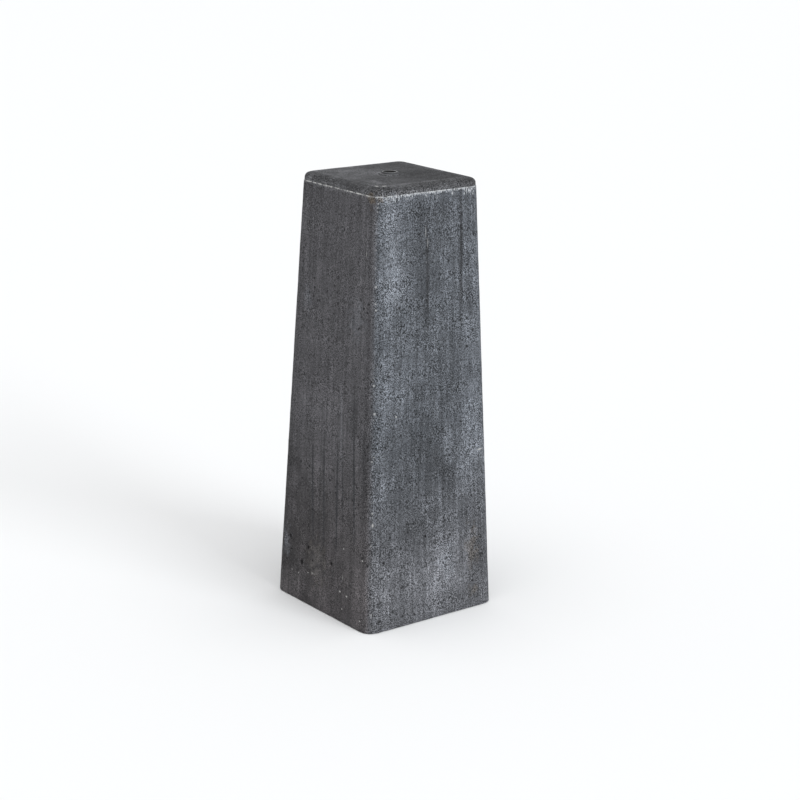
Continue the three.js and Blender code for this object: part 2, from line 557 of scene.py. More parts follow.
    def _seam_lime(self) -> bpy.types.NodeTree:
        """The broken line of lime on the seam's fin and the drips under it.

        Returns:
            The group: Place in; Line and Drips out.
        """
        effect = Effect("seam_lime", {"Place": Vector()}, ["Line", "Drips"])
        sheet, given = effect.sheet, effect.given
        parts = sheet.add("ShaderNodeSeparateXYZ", {0: given["Place"]})
        below = sheet.minus(self.sizes.seam, parts.outputs[2])
        distance = sheet.math("ABSOLUTE", below)
        breaks = sheet.spread(sheet.cloud(given["Place"], 210.0, 4.0, 0.8), 0.43, 0.60)
        line = sheet.spread(distance, 0.9 * MM, 0.25 * MM)
        effect.put("Line", sheet.times(line, breaks))
        thin = sheet.vector("MULTIPLY", given["Place"], (1.0, 1.0, 0.38)).outputs[0]
        flecks = sheet.cloud(thin, 620.0, 3.0, 0.75)
        reach = sheet.spread(sheet.cloud(given["Place"], 90.0, 2.0), 0.45, 0.65, 2.0 * MM, 4.8 * MM)
        for fall in LIME_FALLS:
            aside = sheet.math("ABSOLUTE", sheet.minus(parts.outputs[0], fall.along * MM))
            width = fall.width * MM
            deep = sheet.spread(aside, width / 2, width / 6, 0.0, fall.reach * MM)
            reach = sheet.most(reach, deep)
        share = sheet.math("DIVIDE", below, reach)
        inside = sheet.minus(sheet.spread(flecks, 0.47, 0.59), share)
        under = sheet.math("GREATER_THAN", below, -0.4 * MM)
        drips = sheet.spread(inside, 0.0, 0.35)
        effect.put("Drips", sheet.times(drips, under))
        return effect.tree


@dataclass(frozen=True)
class Relief:
    """One layer of unevenness, pressed into a skin from a cloud pattern.

    Attributes:
        name: What the layer is.
        size: Width of the pattern's clouds.
        depth: Deepest that it presses.
        detail: How many finer patterns ride on the first.
        group: Vertex group that limits it, or nothing for the whole skin.
    """

    name: str
    size: float
    depth: float
    detail: int
    group: str = ""

    def press(self, piece: bpy.types.Object) -> None:
        """Apply the layer to a piece.

        Args:
            piece: The piece.
        """
        texture = bpy.data.textures.new(self.name, "CLOUDS")
        texture.noise_scale = self.size
        texture.noise_depth = self.detail
        texture.noise_basis = "ORIGINAL_PERLIN"
        modifier = piece.modifiers.new(self.name, "DISPLACE")
        modifier.texture = texture
        modifier.texture_coords = "LOCAL"
        modifier.direction = "NORMAL"
        modifier.strength = self.depth
        modifier.mid_level = 1.0
        modifier.vertex_group = self.group
        apply_modifier(piece, modifier)
        bpy.data.textures.remove(texture)


RELIEFS = (
    Relief("slack_skin", size=75 * MM, depth=0.4 * MM, detail=2),
    Relief("fine_skin", size=9 * MM, depth=0.22 * MM, detail=3),
    Relief("ragged_pour_edge", size=12 * MM, depth=0.8 * MM, detail=3, group="pour_edge"),
    Relief("broken_fin", size=4 * MM, depth=0.9 * MM, detail=1, group="fin"),
    Relief("worn_arris", size=16 * MM, depth=0.5 * MM, detail=3, group="arris"),
)


@dataclass(frozen=True)
class Spot:
    """A place on one face and the width of what is there, in millimetres.

    Attributes:
        face: The face that it is on.
        along: Distance along the face from its middle.
        height: Height above the underside; on the top, distance towards +Y.
        width: Width across.
    """

    face: Face
    along: float
    height: float
    width: float


@dataclass(frozen=True)
class AirHole(Spot):
    """A small hole that a bubble left in the skin, or a chip.

    Attributes:
        stretch: Height of the hole as a share of its width.
        hollow: Depth as a share of its width.
        inset: How far behind the face its middle lies, for one on a rounded arris.
    """

    stretch: float = 1.0
    hollow: float = 0.9
    inset: float = 0.0


ARRIS_INSET = 4.4
SEEN_HOLES = (
    AirHole(Face.RIGHT, -72.9, 236.6, 2.2),
    AirHole(Face.RIGHT, -80.0, 181.1, 2.6),
    AirHole(Face.RIGHT, -9.7, 100.6, 2.6),
    AirHole(Face.RIGHT, 3.3, 98.5, 2.0),
    AirHole(Face.RIGHT, -68.6, 81.1, 2.6, stretch=1.3),
    AirHole(Face.LEFT, 26.9, 69.7, 3.0, stretch=1.4),
    AirHole(Face.LEFT, 38.9, 48.2, 4.2, stretch=1.5),
    AirHole(Face.LEFT, 17.8, 56.2, 2.2),
    AirHole(Face.LEFT, -18.8, 63.7, 3.2),
    AirHole(Face.LEFT, 60.2, 58.3, 2.2),
    AirHole(Face.LEFT, 63.0, 73.0, 3.4, stretch=1.4),
    AirHole(Face.LEFT, -75.0, 215.0, 2.2),
    AirHole(Face.LEFT, 71.0, 287.0, 3.4, stretch=1.3),
)
CHIPS = (
    AirHole(Face.LEFT, -86.1, 51, 5.0, stretch=0.7, hollow=1.1, inset=ARRIS_INSET),
    AirHole(Face.LEFT, -79.0, 233, 3.2, stretch=1.8, hollow=0.8, inset=ARRIS_INSET),
    AirHole(Face.RIGHT, -83.0, 129, 3.0, stretch=1.6, hollow=0.8, inset=ARRIS_INSET),
)
SCATTERED_HOLES = {Face.RIGHT: 46, Face.LEFT: 20, Face.FAR_RIGHT: 42, Face.FAR_LEFT: 30}


def scattered_holes(sizes: BlockSizes, draw: random.Random) -> Iterable[AirHole]:
    """Scatter further small holes over the four faces, thicker towards the foot.

    Args:
        sizes: The block's sizes.
        draw: Source of the random draws.

    Yields:
        The holes.
    """
    margin, crowding = 12 * MM, 1.7
    narrowest, further = 1.1, 1.3
    for face, count in SCATTERED_HOLES.items():
        for _ in range(count):
            height = margin + (sizes.seam - 2 * margin) * draw.random() ** crowding
            reach = sizes.half_width(height) - sizes.arris_radius
            along = draw.uniform(-reach, reach)
            width = narrowest + further * draw.random() ** 2
            yield AirHole(face, along / MM, height / MM, width, stretch=draw.uniform(0.9, 1.4))


@dataclass
class CastBlock:
    """The concrete casting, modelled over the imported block."""

    sizes: BlockSizes
    name: str = "cast_block"
    arris_steps: int = 10
    rim_steps: int = 7
    slope_steps: int = 4
    level_pitch: float = 2.5 * MM
    fine_band: float = 7 * MM
    fine_pitch: float = 1.0 * MM
    cap_step: float = 2.6 * MM
    cap_core: float = 12 * MM
    most_cuts: int = 100
    slack: float = 0.1 * MM
    straightness: float = 0.999
    fin_share: float = 0.4
    arris_middle: float = 0.6
    pour_edge_fade: float = 5 * MM
    pocket_gap: float = 0.3 * MM
    pocket_neck: float = 8.6 * MM
    pocket_neck_depth: float = 2.5 * MM
    pocket_sides: int = 48
    ball_segments: int = 8
    ball_rings: int = 6
    smooth_angle: float = math.radians(38)
    seed: int = 8458
    piece: bpy.types.Object = field(init=False)

    def build(self) -> bpy.types.Object:
        """Model the casting.

        Returns:
            The finished object, with no finish on it yet.
        """
        self._taper()
        self._round_arrises()
        self._turn_rim()
        self._step_cap(top=True)
        self._step_cap(top=False)
        self._divide()
        bpy.ops.object.mode_set(mode="OBJECT")
        self._give_relief()
        self._cut(self._air_hole_cutter())
        self._cut(self._pocket_cutter())
        make_active(self.piece)
        bpy.ops.object.shade_smooth_by_angle(angle=self.smooth_angle)
        return self.piece

    def _taper(self) -> None:
        """Make the tapered body up to the seam from a cube."""
        sizes = self.sizes
        start_alone()
        bpy.ops.mesh.primitive_cube_add(size=sizes.base_width, location=(0, 0, 0))
        self.piece = bpy.context.object
        self.piece.name = self.name
        self.piece.data.name = self.name
        bpy.ops.object.mode_set(mode="EDIT")
        bpy.ops.mesh.select_all(action="SELECT")
        bpy.ops.transform.translate(value=(0, 0, sizes.base_width / 2))
        stretch = sizes.seam / sizes.base_width
        bpy.ops.transform.resize(value=(1, 1, stretch), center_override=(0, 0, 0))
        select_where(self.piece, "VERT", lambda vertex: vertex.co.z > sizes.seam / 2)
        draw_in = sizes.top_width / sizes.base_width
        bpy.ops.transform.resize(value=(draw_in, draw_in, 1), center_override=(0, 0, sizes.seam))

    def _round_arrises(self) -> None:
        """Round the four upright edges to one radius from base to seam."""
        span = self.sizes.seam / 2
        select_where(
            self.piece,
            "EDGE",
            lambda edge: abs(edge.verts[0].co.z - edge.verts[1].co.z) > span,
        )
        bpy.ops.mesh.bevel(
            offset=self.sizes.arris_radius,
            offset_type="OFFSET",
            segments=self.arris_steps,
            profile=0.5,
            affect="EDGES",
        )

    def _step_up(self, rise: float, widen: float, at: float) -> None:
        """Extrude the selected cap by a rise and resize it about the upright axis."""
        bpy.ops.mesh.extrude_region_move(TRANSFORM_OT_translate={"value": (0, 0, rise)})
        bpy.ops.transform.resize(value=(widen, widen, 1), center_override=(0, 0, at))

    def _turn_rim(self) -> None:
        """Raise the seam's fin, step in from it and curve the rim up to the flat top."""
        sizes = self.sizes
        half = sizes.top_width / 2
        lift = sizes.seam_fin_height / 2
        select_where(
            self.piece,
            "FACE",
            lambda face: face.normal.z > UPWARD and face.calc_center_median().z > sizes.seam / 2,
        )
        bpy.ops.transform.translate(value=(0, 0, -lift))
        self._step_up(lift, (half + sizes.seam_fin) / half, sizes.seam)
        inner = (half - sizes.seam_step) / (half + sizes.seam_fin)
        self._step_up(lift, inner, sizes.seam + lift)
        outline = self._rim_outline(sizes.rim_height - lift)
        for (run, rise), (next_run, next_rise) in zip(outline, outline[1:]):
            bpy.ops.mesh.inset(
                thickness=next_run - run,
                depth=next_rise - rise,
                use_boundary=True,
                use_even_offset=True,
            )

    def _rim_outline(self, rise: float) -> list[tuple[float, float]]:
        """The rim's section: a short wall, a turned shoulder and a gentle slope to the crease.

        Args:
            rise: Height from the foot of the rim to the flat top.

        Returns:
            Places on the section as distance in and height, from the foot of the wall.
        """
        sizes = self.sizes
        run = sizes.rim_inset - sizes.seam_step
        sweep = math.pi / 2 - sizes.rim_slope
        radius = sizes.rim_radius
        shoulder_in = radius * (1 - math.cos(sweep))
        slope_rise = (run - shoulder_in) * math.tan(sizes.rim_slope)
        wall = rise - radius * math.sin(sweep) - slope_rise
        outline = [(0.0, 0.0)]
        for step in range(self.rim_steps + 1):
            angle = sweep * step / self.rim_steps
            outline.append((radius * (1 - math.cos(angle)), wall + radius * math.sin(angle)))
        for step in range(1, self.slope_steps + 1):
            share = step / self.slope_steps
            outline.append((shoulder_in + (run - shoulder_in) * share, rise - slope_rise * (1 - share)))
        return outline

    def _step_cap(self, top: bool) -> None:
        """Ring a flat cap from its edge in to a small core.

        Args:
            top: Whether it is the flat top, or else the underside.
        """
        sign = 1 if top else -1
        level = self.sizes.height if top else 0.0
        select_where(
            self.piece,
            "FACE",
            lambda face: face.normal.z * sign > UPWARD
            and abs(face.calc_center_median().z - level) < MM,
        )
        width = self.sizes.top_width / 2 - self.sizes.rim_inset
        if not top:
            width = self.sizes.base_width / 2
            narrow = (width - self.sizes.edge_break) / width
            bpy.ops.transform.translate(value=(0, 0, self.sizes.edge_break))
            self._step_up(-self.sizes.edge_break, narrow, 0)
            width -= self.sizes.edge_break
        count = round((width - self.cap_core) / self.cap_step)
        for step in range(count):
            now = width - (width - self.cap_core) * step / count
            then = width - (width - self.cap_core) * (step + 1) / count
            self._step_up(0, then / now, level)

    def _divide(self) -> None:
        """Cut the body and the four broad faces into an even grid."""
        sizes = self.sizes
        lift = sizes.seam_fin_height / 2
        foot = sizes.edge_break + self.fine_band
        neck = sizes.seam - lift - self.fine_band
        shares = math.ceil((neck - foot) / self.level_pitch / self.most_cuts)
        stops = [foot + (neck - foot) * share / shares for share in range(shares + 1)]
        bands = [(low, high, self.level_pitch) for low, high in zip(stops, stops[1:])]
        bands.append((sizes.edge_break, foot, self.fine_pitch))
        bands.append((neck, sizes.seam - lift, self.fine_pitch))
        for stop in stops:
            bpy.ops.mesh.select_all(action="SELECT")
            bpy.ops.mesh.bisect(plane_co=(0, 0, stop), plane_no=(0, 0, 1))
        for low, high, pitch in bands:

            def upright(edge: bmesh.types.BMEdge) -> bool:
                """Whether an edge runs the height of the band."""
                heights = sorted(vertex.co.z for vertex in edge.verts)
                return (
                    heights[0] > low - self.slack
                    and heights[1] < high + self.slack
                    and heights[1] - heights[0] > (high - low) / 2
                )

            select_where(self.piece, "EDGE", upright)
            bpy.ops.mesh.subdivide(number_cuts=round((high - low) / pitch) - 1)
        broad = 2 * (sizes.half_width(sizes.seam / 2) - sizes.arris_radius)

        def level(edge: bmesh.types.BMEdge) -> bool:
            """Whether an edge runs straight along a broad face."""
            run = edge.verts[1].co - edge.verts[0].co
            straight = max(abs(run.x), abs(run.y))
            return run.length > self.cap_core and straight > self.straightness * run.length

        select_where(self.piece, "EDGE", level)
        bpy.ops.mesh.subdivide(number_cuts=round(broad / self.level_pitch) - 1)

    def _weigh(self, name: str, weight: Callable[[Vector], float]) -> None:
        """Make a vertex group whose weights come from each vertex's place.

        Args:
            name: The group's name.
            weight: Gives a weight from 0 to 1 for a place.
        """
        group = self.piece.vertex_groups.new(name=name)
        for vertex in self.piece.data.vertices:
            share = weight(vertex.co)
            if share > 0:
                group.add([vertex.index], min(share, 1.0), "REPLACE")

    def _give_relief(self) -> None:
        """Press the relief of a casting into the skin, always inwards."""
        self._weigh("pour_edge", self._near_pour_edge)
        self._weigh("fin", self._on_fin)
        self._weigh("arris", self._near_arris)
        for relief in RELIEFS:
            relief.press(self.piece)
        self.piece.vertex_groups.clear()

    def _on_fin(self, place: Vector) -> float:
        """Whether a place is on the seam's fin, as 1 or 0."""
        return float(abs(place.z - self.sizes.seam) < self.sizes.seam_fin_height * self.fin_share)

    def _near_pour_edge(self, place: Vector) -> float:
        """How near a place is to the ragged edge round the underside.

        Args:
            place: The place.

        Returns:
            1 at the edge, down to 0.
        """
        across = max(abs(place.x), abs(place.y))
        inward = max(self.sizes.base_width / 2 - across - self.sizes.edge_break, 0)
        rise = max(place.z - self.sizes.edge_break, 0)
        return max(1 - (inward + rise) / self.pour_edge_fade, 0)

    def _near_arris(self, place: Vector) -> float:
        """How near a place is to the middle of an upright arris.

        Args:
            place: The place.

        Returns:
            1 at the arris, down to 0 where its round runs out.
        """
        half = self.sizes.half_width(place.z)
        inset = 2 * half - abs(place.x) - abs(place.y)
        spread = self.sizes.arris_radius
        at_side = place.z < self.sizes.height - MM
        return max(1 - abs(inset - spread * self.arris_middle) / spread, 0) * at_side

    def _cut(self, cutter: bpy.types.Object) -> None:
        """Take one solid out of the casting and delete it.

        Args:
            cutter: The solid.
        """
        modifier = self.piece.modifiers.new("cut", "BOOLEAN")
        modifier.operation = "DIFFERENCE"
        modifier.solver = "EXACT"
        modifier.object = cutter
        apply_modifier(self.piece, modifier)
        bpy.data.objects.remove(cutter)

    def _air_hole_cutter(self) -> bpy.types.Object:
        """Make one solid of all the air holes and chips.

        Returns:
            The joined cutter.
        """
        draw = random.Random(self.seed)
        holes = [*SEEN_HOLES, *CHIPS, *scattered_holes(self.sizes, draw)]
        start_alone()
        bpy.ops.mesh.primitive_uv_sphere_add(
            segments=self.ball_segments, ring_count=self.ball_rings, radius=1
        )
        first = bpy.context.object
        balls = [first]
        for _ in holes[1:]:
            ball = first.copy()
            ball.data = first.data.copy()
            bpy.context.collection.objects.link(ball)
            balls.append(ball)
        start_alone()
        for ball, hole in zip(balls, holes):
            ball.location = self.sizes.on_face(
                hole.face, hole.along * MM, hole.height * MM, -hole.inset * MM
            )
            out_x, out_y = hole.face.value
            half = hole.width * MM / 2
            depth = half * hole.hollow
            ball.scale = (
                depth if out_x else half,
                depth if out_y else half,
                half * hole.stretch,
            )
            ball.select_set(True)
        bpy.context.view_layer.objects.active = first
        bpy.ops.object.transform_apply(location=True, rotation=True, scale=True)
        bpy.ops.object.join()
        return first

    def _pocket_cutter(self) -> bpy.types.Object:
        """Make the solid that opens the pocket round the socket.

        Returns:
            The cutter: a wide bore, a shoulder and a close neck through the top.
        """
        low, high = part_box("threaded_insert")
        gap = self.pocket_gap
        body = (high[0] - low[0]) / 2 + gap
        neck = self.pocket_neck
        neck_level = self.sizes.height - self.pocket_neck_depth + gap
        bottom = low[2] - gap
        shoulder = neck_level - (body - neck)
        start_alone()
        bpy.ops.mesh.primitive_cylinder_add(
            vertices=self.pocket_sides, radius=body, depth=shoulder - bottom
        )
        cutter = bpy.context.object
        bpy.ops.object.mode_set(mode="EDIT")
        bpy.ops.mesh.select_all(action="SELECT")
        bpy.ops.transform.translate(value=(0, 0, (shoulder + bottom) / 2))
        select_where(
            cutter,
            "FACE",
            lambda face: face.normal.z > UPWARD and face.calc_center_median().z > bottom + gap,
        )
        self._step_up(neck_level - shoulder, neck / body, neck_level)
        self._step_up(high[2] + MM - neck_level, 1.0, high[2] + MM)
        bpy.ops.object.mode_set(mode="OBJECT")
        return cutter


class Tint(Enum):
    """Display colours of lime bloom, white crust, dark runs and brown stain."""

    BLOOM = (133, 137, 144)
    WHITE = (212, 211, 208)
    DAMP = (48, 49, 52)
    EARTH = (92, 82, 70)


@dataclass(frozen=True)
class Patch(Spot):
    """A patch or streak in the concrete's colour.

    Attributes:
        tall: Height of the patch.
        strength: How strongly it shows, from 0 to 1.
        ragged: How uneven its edge is.
        lean: How far it moves along the face for each metre of height.
    """

    tall: float
    strength: float = 0.6
    ragged: float = 0.6
    lean: float = 0.0


@dataclass(frozen=True)
class Tone(Spot):
    """A broad lighter or darker part of one face.

    Attributes:
        tall: Height of the part.
        gain: How much light it gives back beside the rest of the face.
    """

    tall: float
    gain: float = 1.0


TONES = (
    Tone(Face.RIGHT, -25, 160, 140, 250, 0.66),
    Tone(Face.RIGHT, -8, 420, 48, 240, 0.78),
    Tone(Face.RIGHT, 16, 262, 80, 220, 0.77),
    Tone(Face.RIGHT, -62, 410, 60, 230, 1.23),
    Tone(Face.RIGHT, 70, 330, 46, 420, 1.24),
    Tone(Face.RIGHT, 64, 205, 70, 190, 1.30),
    Tone(Face.RIGHT, 2, 52, 124, 140, 1.56),
    Tone(Face.RIGHT, 72, 62, 54, 110, 0.78),
    Tone(Face.RIGHT, -64, 235, 70, 330, 1.28),
    Tone(Face.RIGHT, -64, 50, 60, 110, 1.15),
    Tone(Face.LEFT, 40, 85, 190, 220, 0.62),
    Tone(Face.LEFT, -78, 175, 32, 260, 0.78),
    Tone(Face.LEFT, 82, 140, 60, 320, 0.72),
    Tone(Face.LEFT, -5, 35, 150, 110, 0.86),
    Tone(Face.LEFT, -74, 40, 34, 100, 1.35),
    Tone(Face.LEFT, 0, 220, 110, 190, 1.18),
    Tone(Face.LEFT, -56, 360, 60, 110, 1.14),
    Tone(Face.FAR_RIGHT, 20, 130, 130, 230, 0.68),
    Tone(Face.FAR_RIGHT, -30, 400, 60, 220, 1.28),
    Tone(Face.FAR_RIGHT, 40, 330, 60, 200, 0.80),
    Tone(Face.FAR_RIGHT, -60, 60, 90, 120, 1.35),
    Tone(Face.FAR_LEFT, -30, 80, 150, 200, 0.74),
    Tone(Face.FAR_LEFT, 45, 260, 70, 260, 1.16),
    Tone(Face.FAR_LEFT, -20, 430, 60, 150, 0.86),
    Tone(Face.TOP, 30, -23, 100, 100, 0.70),
    Tone(Face.TOP, -25, 18, 120, 124, 1.50),
    # Painted highlight along the left crease of the flat top.
    Tone(Face.TOP, -48, -14, 30, 90, 1.26),
    Tone(Face.RIGHT, -14, 471, 34, 44, 0.80),
    Tone(Face.LEFT, 40, 478, 66, 44, 0.84),
    Tone(Face.LEFT, -48, 238, 38, 54, 0.76),
    Tone(Face.TOP, -36, -66, 44, 12, 1.40),
)


PATCHES = {
    Tint.BLOOM: (
        Patch(Face.RIGHT, -54, 458, 34, 80, 0.30, 0.9),
        Patch(Face.RIGHT, -52, 425, 26, 36, 0.48, 1.0),
        Patch(Face.RIGHT, -53, 389, 28, 44, 0.40, 1.0),
        Patch(Face.RIGHT, -46, 405, 36, 60, 0.25, 1.0),
        Patch(Face.RIGHT, 21, 204, 16, 60, 0.25, 0.2),
        Patch(Face.RIGHT, 19, 60, 26, 60, 0.25, 0.9),
        Patch(Face.LEFT, 10, 56, 34, 46, 0.22, 0.8),
        Patch(Face.LEFT, 72, 64, 18, 40, 0.32, 0.8),
        Patch(Face.FAR_RIGHT, -36, 430, 30, 70, 0.4, 1.0),
        Patch(Face.FAR_LEFT, 10, 60, 30, 40, 0.35, 0.8),
        Patch(Face.LEFT, 48, 359, 20, 34, 0.24),
        Patch(Face.LEFT, -46, 355, 28, 60, 0.22, 0.9),
        Patch(Face.LEFT, -27, 228, 3.4, 130, 0.26, 0.2, 0.056),
    ),
    Tint.DAMP: (
        Patch(Face.RIGHT, -4.3, 408, 6, 180, 1.0, 0.3),
        Patch(Face.RIGHT, 43, 425, 6, 190, 1.0, 0.3),
        Patch(Face.RIGHT, 24, 455, 4, 60, 0.30, 0.3),
        Patch(Face.RIGHT, -12, 445, 22, 60, 0.20),
        Patch(Face.RIGHT, 16, 468, 50, 40, 0.25),
        Patch(Face.FAR_RIGHT, 12, 410, 6, 190, 0.9, 0.3),
        Patch(Face.FAR_LEFT, -22, 180, 6, 210, 0.7, 0.2),
        Patch(Face.FAR_LEFT, 34, 250, 6, 180, 0.6, 0.2),
        Patch(Face.LEFT, 23, 140, 4.6, 160, 0.95, 0.2, 0.063),
        Patch(Face.LEFT, 1.4, 147, 4.6, 200, 0.90, 0.2, 0.051),
        Patch(Face.LEFT, -24.5, 134, 4.6, 200, 0.95, 0.2, 0.04),
        Patch(Face.LEFT, -33.6, 165, 4.2, 150, 0.70, 0.2, 0.06),
        Patch(Face.LEFT, -54.5, 172, 5.4, 240, 0.95, 0.2, 0.07),
        Patch(Face.LEFT, -70, 190, 7, 130, 0.30, 0.3, 0.05),
    ),
    Tint.EARTH: (
        Patch(Face.LEFT, -65, 488, 20, 18, 0.60, 0.9),
        Patch(Face.RIGHT, -69, 488, 12, 12, 0.5, 0.9),
        Patch(Face.RIGHT, 58, 74, 24, 60, 0.30, 0.8),
        Patch(Face.RIGHT, 60, 20, 16, 20, 0.30, 0.8),
        Patch(Face.LEFT, 10, 56, 40, 56, 0.30, 0.9),
        Patch(Face.FAR_RIGHT, -40, 40, 24, 30, 0.3, 0.9),
    ),
    Tint.WHITE: (
        Patch(Face.TOP, -53, -59, 7, 5, 0.62, 1.3),
        Patch(Face.TOP, -60, -55, 5, 7, 0.5, 1.3),
        Patch(Face.RIGHT, -6.5, 446, 1.6, 18, 0.25, 0.3),
        Patch(Face.RIGHT, -4.0, 434, 1.6, 16, 0.25, 0.3),
        Patch(Face.RIGHT, 70, 188.5, 11, 2, 0.6, 0.1),
        Patch(Face.RIGHT, -49.3, 246, 2.4, 2.4, 0.7, 0.1),
        Patch(Face.RIGHT, -78, 204, 2.4, 2.4, 0.6, 0.1),
        Patch(Face.RIGHT, -82, 151, 2.4, 5, 0.5, 0.4),
        Patch(Face.RIGHT, -81, 126, 2.4, 5, 0.55, 0.4),
        Patch(Face.LEFT, -86, 74, 2.8, 2.4, 0.68, 0.1),
        Patch(Face.LEFT, -37, 36, 3.2, 2.8, 0.77, 0.2),
        Patch(Face.LEFT, -50, 34, 3.8, 2.7, 0.77, 0.2),
        Patch(Face.LEFT, -76, 84, 2.7, 2.3, 0.85, 0.1),
        Patch(Face.LEFT, -76, 13, 2.8, 2.2, 0.77, 0.1),
        Patch(Face.LEFT, -42, 16.5, 2.8, 2.2, 0.68, 0.1),
        Patch(Face.LEFT, -41, 88, 2.4, 3.3, 0.68, 0.1),
        Patch(Face.LEFT, 44.6, 33, 2.4, 2.2, 0.72, 0.1),
        Patch(Face.LEFT, 26, 39, 3.0, 2.0, 0.68, 0.1),
        Patch(Face.LEFT, 58, 33.4, 2.4, 2.2, 0.63, 0.1),
        Patch(Face.LEFT, 17, 41, 5.0, 2.8, 0.30, 0.5),
        Patch(Face.LEFT, -41.4, 54, 2.6, 9.4, 0.29, 0.3),
        Patch(Face.LEFT, 44.4, 23.5, 2.2, 8, 0.10, 0.3),
        Patch(Face.LEFT, 78.5, 168, 4.6, 3.6, 1.0, 0.1),
        Patch(Face.LEFT, -59.2, 426, 1.9, 8.6, 0.32, 0.4),
    ),
}


def start_material(name: str) -> tuple[bpy.types.Material, NodeSheet, bpy.types.NodeSocket]:
    """Start a material from nothing but the object's own coordinates.

    Args:
        name: The material's name.

    Returns:
        The material, the sheet for its nodes and the place on the object.
    """
    material = bpy.data.materials.new(name)
    material.use_nodes = True
    material.node_tree.nodes.clear()
    sheet = NodeSheet(material.node_tree)
    return material, sheet, sheet.add("ShaderNodeTexCoord", {}).outputs["Object"]


@dataclass(frozen=True)
class Pinholes:
    """One kind of pinhole or speck: usual distance between two, width of the widest, strength."""

    spacing: float
    width: float
    strength: float = 1.0


@dataclass(frozen=True)
class Runs:
    """One kind of upright run: usual width and length, and a shift that parts two kinds."""

    width: float
    length: float
    shift: float = 0.0


@dataclass(frozen=True)
class ConcreteFinish:
    """The anthracite concrete: its colours, its roughness and the depth of its grain."""

    name: str = "anthracite_concrete"
    plain: Shade = (81, 80, 83)
    bloomed: Shade = (80, 83, 88)
    top: Shade = (76, 76, 78)
    foot: tuple[float, float, float, float] = (1.06, 1.0, 0.965, 1.0)
    # Painted shade in the pinholes, which are pressed in only by the bump.
    pinhole_shade: Shade = (26, 26, 28)
    # Painted shade inside the larger air holes.
    hollow: Shade = (13, 12, 13)
    salt: Shade = (160, 163, 168)
    drip: Shade = (198, 200, 203)
    seam_line: Shade = (220, 220, 217)
    chalk: Shade = (170, 170, 170)
    rough: float = 0.86
    rough_swing: float = 0.14
    rough_size: float = 20 * MM
    shine: float = 0.35
    darkest: float = 0.12
    patch_depth: float = 6 * MM
    # Width of the painted shade in each air hole, as a share of the hole's width.
    hole_shade_spread: float = 1.9
    foot_fade: tuple[float, float] = (240 * MM, 40 * MM)
    blotch_sizes: tuple[float, float] = (75 * MM, 16 * MM)
    broad_runs: Runs = Runs(6 * MM, 110 * MM)
    fine_runs: Runs = Runs(2.2 * MM, 50 * MM, shift=7.0)
    small_pinholes: Pinholes = Pinholes(3.0 * MM, 1.3 * MM, 0.6)
    large_pinholes: Pinholes = Pinholes(8.5 * MM, 2.4 * MM, 0.85)
    salt_specks: Pinholes = Pinholes(4.0 * MM, 1.2 * MM)
    chalk_specks: Pinholes = Pinholes(4.2 * MM, 2.2 * MM, 0.75)
    grain_size: float = 1.0 * MM
    bump_size: float = 1.3 * MM
    bump_grain: float = 0.3
    bump_strength: float = 0.8
    bump_depth: float = 0.5 * MM


